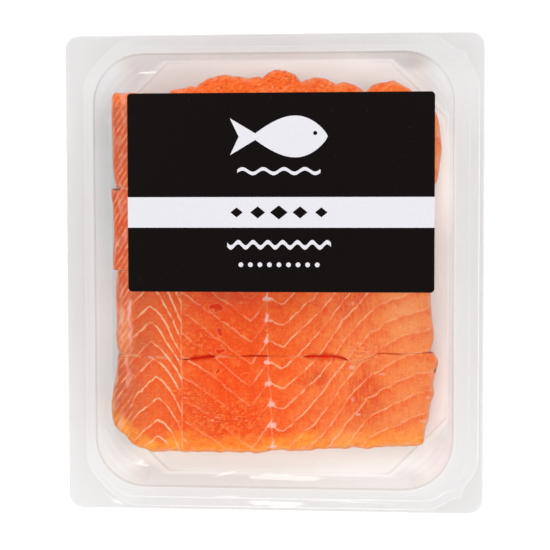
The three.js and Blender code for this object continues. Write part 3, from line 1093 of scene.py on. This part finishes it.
def flesh_top(portion, u, v):
    """A portion's upper surface: its places, and how far each lies in from the nearest outer edge."""
    along = (u * (1 - CORNER_PULL * np.abs(v) ** CORNER_POWER) + 1) / 2
    across = (v * (1 - 1.2 * CORNER_PULL * np.abs(u) ** (4 * CORNER_POWER)) + 1) / 2
    back = through(portion["back"], across)
    belly = through(portion["belly"], across)
    x = back + (belly - back) * along
    front_open, rear_open = portion["open"]
    front_gap = opening(front_open, x) / 2
    rear_gap = opening(rear_open, x) / 2
    front = front_edge(portion, x) + front_gap
    rear = rear_edge(portion, x) - rear_gap
    y = front + (rear - front) * across
    drop = rounded_drop(x - back, BACK_ROUND) + rounded_drop(belly - x, BELLY_ROUND)
    drop = drop + edge_drop(y - front, front_open, front_gap, x, FRONT_ROUND)
    drop = drop + edge_drop(rear - y, rear_open, rear_gap, x, REAR_ROUND)
    dome = 0.1 * np.cos(2 * math.pi * flank_phase(x, y)) * rise(x, SEPTUM_X, SEPTUM_X + 8)
    relief = 0.45 * waves(x, y, 34, 51) + 0.12 * waves(x, y, 8, 52) - dome
    relief = relief - 0.5 * spots(x, y, PIN_HOLES) + 0.7 * spots(x, y, PALE)
    z = TRAY_SHEET + through(THICKNESS, along) + relief - drop
    inset = np.minimum(x - back, belly - x)
    if front_open is None:
        inset = np.minimum(inset, y - front)
    if rear_open is None:
        inset = np.minimum(inset, rear - y)
    return *inside_tray(x, y, z), z, inset


def side_levels(rim, way, gaps, cut):
    """The sides under the rim, as levels of points with their depths and how far in they count as."""
    levels = []
    for level in range(1, UP_STEPS + 1):
        share = level / UP_STEPS
        z = rim[:, 2] + (TRAY_SHEET + SKIN_LIFT - rim[:, 2]) * share
        depth = rim[:, 2] - z
        closing = np.clip(depth / CUT_DEPTH, 0, 1) * np.maximum(gaps - 0.01, 0)
        bulge = SIDE_BULGE * math.sin(math.pi * min(share * 1.15, 1.0))
        push = np.where(cut, closing, bulge) - FOOT_TUCK * share**3
        x, y = inside_tray(*(rim[:, :2] + way * push[:, None]).T, z)
        levels.append((np.column_stack([x, y, z]), depth, np.where(cut, CUT_DEPTH * 5, -depth)))
    return levels


def make_fillet(portion, look):
    """A portion: its top with flakes and marks, its cut sides, and the skin that it lies on."""
    u, v = np.meshgrid(eased(ALONG_STEPS), eased(ACROSS_STEPS))
    x, y, z, inset = flesh_top(portion, u, v)
    index = np.arange(x.size).reshape(x.shape)
    corners = [index[:-1, :-1], index[:-1, 1:], index[1:, 1:], index[1:, :-1]]
    faces = np.stack(corners, -1).reshape(-1, 4).tolist()
    edge = np.concatenate([index[0, :-1], index[:-1, -1], index[-1, :0:-1], index[:0:-1, 0]])
    top = np.column_stack([x.ravel(), y.ravel(), z.ravel()])
    rim = top[edge]

    at_front = np.isin(edge, index[0])
    at_rear = np.isin(edge, index[-1])
    way_y = at_rear.astype(int) - at_front
    way = np.column_stack([np.where(way_y, 0, np.sign(rim[:, 0])), way_y])
    front_open, rear_open = portion["open"]
    gaps = np.where(at_front, opening(front_open, rim[:, 0]), opening(rear_open, rim[:, 0])) / 2
    cut = (at_front & (front_open is not None)) | (at_rear & (rear_open is not None))
    middle_y = (np.mean(portion["front"]["y"]) + np.mean(portion["rear"]["y"])) / 2

    levels = [(top, np.zeros(len(top)), inset.ravel())]
    levels += side_levels(rim, way, gaps, cut)
    levels.append(([(0.0, middle_y, TRAY_SHEET + SKIN_LIFT)], [FOOT_DEPTH], [0.0]))
    points, depth, inset = [np.concatenate(parts) for parts in zip(*levels)]
    loops = [edge, *np.arange(len(top), len(points) - 1).reshape(UP_STEPS, -1)]
    for above, below in zip(loops[:-1], loops[1:]):
        faces += band(below, above)
    faces += fan(len(points) - 1, np.roll(loops[-1], -1), loops[-1])

    piece = make_piece(portion["name"] + "_flesh", points, faces, [portion["name"]], [look])
    x, y, z = points.T
    marks = edge_marks(portion, x, y, z, depth, inset)
    give(piece, flake_marks(x, y, depth) | flesh_marks(x, y, depth) | marks)


# ---- The salmon: what its material reads ----


def flank_phase(x, y):
    """Counts flakes along the fish, for the flesh between the septum and the belly."""
    wobble = 0.7 * waves(x, y, 26, 11) + 0.3 * waves(x, y, 9, 12)
    along = y - soft_table(FLANK_LINE, x) - FLANK_FIRST
    return (along + wobble * rise(np.abs(x + 3), 1, 12)) / FLANK_PITCH


def chevron_phase(x, y):
    """Counts flakes in the back's chevrons, whose peaks point along the fish."""
    peak_x = np.interp(y, PEAK_X["y"], PEAK_X["x"])
    along = y - soft_table(CHEVRON_LINE, x - peak_x, 0.7) + 0.35 * waves(x, y, 18, 21)
    peaks = np.array(CHEVRON_PEAKS)
    pitch = (peaks[-1] - peaks[0]) / (len(peaks) - 1)
    counted = np.interp(along, peaks, np.arange(len(peaks)))
    return counted + (np.minimum(along - peaks[0], 0) + np.maximum(along - peaks[-1], 0)) / pitch


def margin_phase(x, y):
    """Counts the slanting lines along the edge of the back."""
    return (y - MARGIN_SLOPE * (x - MARGIN_FOOT) + 0.6 * waves(x, y, 20, 31)) / MARGIN_PITCH


def with_spacing(phase, x, y, strength):
    """A phase with the millimetres that one count takes, across the lines, and the lines' strength."""
    reach = 0.2
    value = phase(x, y)
    slope_x = (phase(x + reach, y) - value) / reach
    slope_y = (phase(x, y + reach) - value) / reach
    spacing = 1 / np.maximum(np.hypot(slope_x, slope_y), 0.02)
    return np.column_stack([value, spacing, strength])


def from_midline(x, y):
    return x - np.interp(y, MIDLINE["y"], MIDLINE["x"]) - 0.25 * waves(x * 0, y, 14, 41)


def from_margin(x, y):
    return x - MARGIN_X + 0.5 * waves(x * 0, y, 40, 62)


def knot_shapes(x, y):
    """0 to 1: the white knots on the midline, one at each flake, wider at their foot."""
    count = (y - FLANK_FIRST) / FLANK_PITCH
    along = (count - np.round(count)) * FLANK_PITCH
    half = np.interp(along, [-2.2, -1.3, 0.6, 2.8], [0.0, 2.3, 1.0, 0.0])
    half = half * (0.74 + 0.25 * waves(x * 0, y, 24, 43))
    ragged = 0.7 * waves(x, y, 3.4, 42)
    return rise(half - np.abs(from_midline(x, y) + ragged), -0.3, 0.5) * (half > 0)


def shut_lip(portion, x, y):
    """1 along the edge of a cut where it is shut, and 0 away from it."""
    lip = np.zeros_like(x)
    edges = (front_edge(portion, x), rear_edge(portion, x))
    for openings, edge in zip(portion["open"], edges):
        if openings is not None:
            wide = LIP_WIDTH * (1 + 0.5 * pressed_shut(openings, x))
            near = fall(np.abs(y - edge), 0.2, wide + 0.2)
            lip = np.maximum(lip, near * fall(opening(openings, x), 0.1, 0.5))
    return lip * rise(waves(x, y * 0, 12, 72), -0.6, 0.6)


def label_shade(x, y):
    """How much darker the flesh is in front of the label, which keeps some of the light from it."""
    ahead = LABEL_CENTRE[1] - LABEL_HALF[1] - y
    shade = 0.14 * fall(ahead, -2, 14) + 0.11 * fall(ahead, 10, 45)
    beside = fall(x, -72, -66) + rise(y, 60, 80)
    return shade * (1 - 0.65 * rise(x, -5, 40)) * (1 - np.minimum(beside, 1))


def flake_marks(x, y, depth):
    """The lines between flakes, and how far each point is from the lines that part the flakes."""
    slanted = y - FLAKE_SLANT * depth
    strength = np.interp(x, LINE_STRENGTH["x"], LINE_STRENGTH["share"])
    fading = 1 - 0.4 * rise(waves(x, y, 22, 61), 0.2, 1.2)
    edging = (0.6 + 0.25 * waves(x, y, 9, 33)) * fading
    return {
        "flank": with_spacing(flank_phase, x, slanted, strength * fading),
        "chevron": with_spacing(chevron_phase, x, slanted, fading * rise(x, -73, -66)),
        "edging": with_spacing(margin_phase, x, slanted, edging),
        "septum": x - SEPTUM_X - 0.5 * waves(x * 0, y, 40, 62),
        "margin": from_margin(x, y),
        "midline": from_midline(x, y),
    }


def flesh_marks(x, y, depth):
    """White fat; the places where the flesh is pitted, flushed, pale or torn; dark spots, one of them a
    painted shadow; and the painted shade in front of the label.
    """
    on_top = fall(depth, 1, 5)
    milky = rise(waves(x * 2, y - x, 15, 64), 0.1, 0.9) * fall(x, -75, -70)
    margin_fat = np.exp(-(from_margin(x, y) ** 2)) * fall(np.abs(y + 25), 11, 15)
    knots = knot_shapes(x, y) * fall(y, 82, 86)
    flecks = rise(spots(x, y, FLECKS) * (1 + 0.5 * waves(x, y, 1.6, 65)), 0.4, 0.8)
    bent_x = x + 0.7 * waves(x, y, 5, 75)
    bent_y = y + 0.6 * waves(x, y, 4, 76)
    return {
        "streak": np.maximum(0.5 * milky, margin_fat),
        "fat": np.maximum(knots, 0.55 * flecks) * on_top,
        "pit": rise(spots(bent_x, bent_y, PIN_HOLES), 0.3, 0.9) * on_top,
        "flushed": spots(x, y, FLUSHED) * on_top,
        "pale": spots(x, y, PALE) * on_top,
        "torn": spots(x, y, TORN),
        # Dark spots on the top; the one at the back corner between the first two portions is a painted
        # shadow.
        "dark": rise(spots(x, y, DARK_SPOTS), 0.3, 0.6) * fall(depth, 0.3, 1.5),
        "shaded": label_shade(x, y),
        "across": (x + FISH_HALF) / (2 * FISH_HALF),
    }


def edge_marks(portion, x, y, z, depth, inset):
    """The painted light along the outer edges, the thin front end, the rear end's orange with painted light,
    the cut faces' deep red with painted shade, their lips, and the skin.
    """
    # Painted light: paler near the outer edges of the top and down the upper outer sides, lifting their
    # shade.
    rim = fall(inset + 0.5 * waves(x, y, 9, 77), 0.2, RIM_WIDTH) * fall(depth, 0.5, 3)
    thin = rear_orange_and_light = np.zeros_like(x)
    if portion["front"] is FRONT_END:
        ragged = 2.2 * waves(x, y, 15, 71) + 0.8 * waves(x, y, 4, 74)
        thin = fall(y - front_edge(portion, x) + ragged, 0.5, 13)
    # Partly painted light: the rear end of the first portion is painted lighter, besides its own saturated
    # orange.
    if portion["rear"] is REAR_LEVEL:
        rear_orange_and_light = rise(y, 80, 86)
    # The cut faces between portions, painted deep red, partly as painted shade.
    in_cut = rise(depth, 0.1, 0.7) * fall(depth, 3, 6) * (inset > 0)
    return {
        "rim": rim * (0.75 + 0.25 * waves(x, y, 14, 78)),
        "thin": 0.75 * thin,
        "rear_orange_and_light": 0.85 * rear_orange_and_light,
        "cut": in_cut * rise(82 - np.abs(x), 1, 5),
        "lip": LIP_PALENESS * shut_lip(portion, x, y) * fall(depth, 1, 5),
        "skin": fall(z - TRAY_SHEET, SKIN_HEIGHT * 0.8, SKIN_HEIGHT),
    }


# ---- Studio ----

FLOOR_GAP = 0.2
FLOOR_HALF = 6000
FLOOR_GLOW = 0.22

# Each soft light: its middle, its width and height, and its power in watts. They face the origin.
SOFT_LIGHTS = [
    ("light_front", (60, -1000, 1400), (1500, 900), 9.8),
    ("light_left", (-1250, 100, 1350), (900, 1300), 7.9),
    ("light_right", (1100, 0, 1400), (900, 1300), 9.0),
    ("light_rear", (0, 1050, 1400), (1400, 900), 15.4),
]

# The world's strength all round and overhead, and the heights between which it fades.
WORLD_STRENGTH = (0.75, 0.03)
WORLD_FADE = (0.55, 0.95)

CAMERA_PLACE = (69.7, 42.3, 777.9)
CAMERA_TURN = (-3.27, 5.26, -0.12)
CAMERA_LENS = 102.1
CAMERA_SENSOR = 36


def make_floor():
    half = FLOOR_HALF * MM
    corners = [(-half, -half), (half, -half), (half, half), (-half, half)]
    mesh = bpy.data.meshes.new("studio_floor")
    mesh.from_pydata([(x, y, -FLOOR_GAP * MM) for x, y in corners], [], [(0, 1, 2, 3)])
    mesh.materials.append(floor_look())
    floor = put_in_scene("studio_floor", mesh)


def make_lights():
    for name, place, size, power in SOFT_LIGHTS:
        data = bpy.data.lights.new(name, "AREA")
        data.shape = "RECTANGLE"
        data.size, data.size_y = [length * MM for length in size]
        data.energy = power
        light = put_in_scene(name, data)
        light.location = [value * MM for value in place]
        towards = Vector([-value * MM for value in place])
        light.rotation_euler = towards.to_track_quat("-Z", "Y").to_euler()


def make_world():
    """Soft light from all round, dimmer overhead, where the camera hangs."""
    world = bpy.data.worlds.new("studio")
    bpy.context.scene.world = world
    nodes = Nodes(world)
    height = nodes.parts(nodes.node("TexCoord").outputs["Generated"])[2]
    strength = nodes.span(height, *WORLD_FADE, *WORLD_STRENGTH)
    background = nodes.put_by_name(nodes.node("Background"), Strength=strength)
    nodes.finish(background.outputs[0], "World")


def make_camera():
    data = bpy.data.cameras.new("camera")
    data.lens = CAMERA_LENS
    data.sensor_width = CAMERA_SENSOR
    camera = put_in_scene("camera", data)
    camera.location = [value * MM for value in CAMERA_PLACE]
    camera.rotation_euler = [math.radians(angle) for angle in CAMERA_TURN]
    bpy.context.scene.camera = camera


def set_tone():
    """Plain colours, and enough passes for light to get through all the clear sheets."""
    scene = bpy.context.scene
    scene.view_settings.view_transform = "Standard"
    scene.cycles.transparent_max_bounces = 40


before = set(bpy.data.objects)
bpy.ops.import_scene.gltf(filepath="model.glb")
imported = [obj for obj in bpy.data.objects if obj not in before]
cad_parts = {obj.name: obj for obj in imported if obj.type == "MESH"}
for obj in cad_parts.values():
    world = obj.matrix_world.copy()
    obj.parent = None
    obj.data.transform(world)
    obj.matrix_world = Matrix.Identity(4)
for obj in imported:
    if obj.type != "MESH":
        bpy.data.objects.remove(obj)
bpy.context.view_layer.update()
make_tray()
make_film()
make_label()
flesh = flesh_look()
for fillet in PORTIONS:
    make_fillet(fillet, flesh)
make_floor()
make_lights()
make_world()
make_camera()
set_tone()
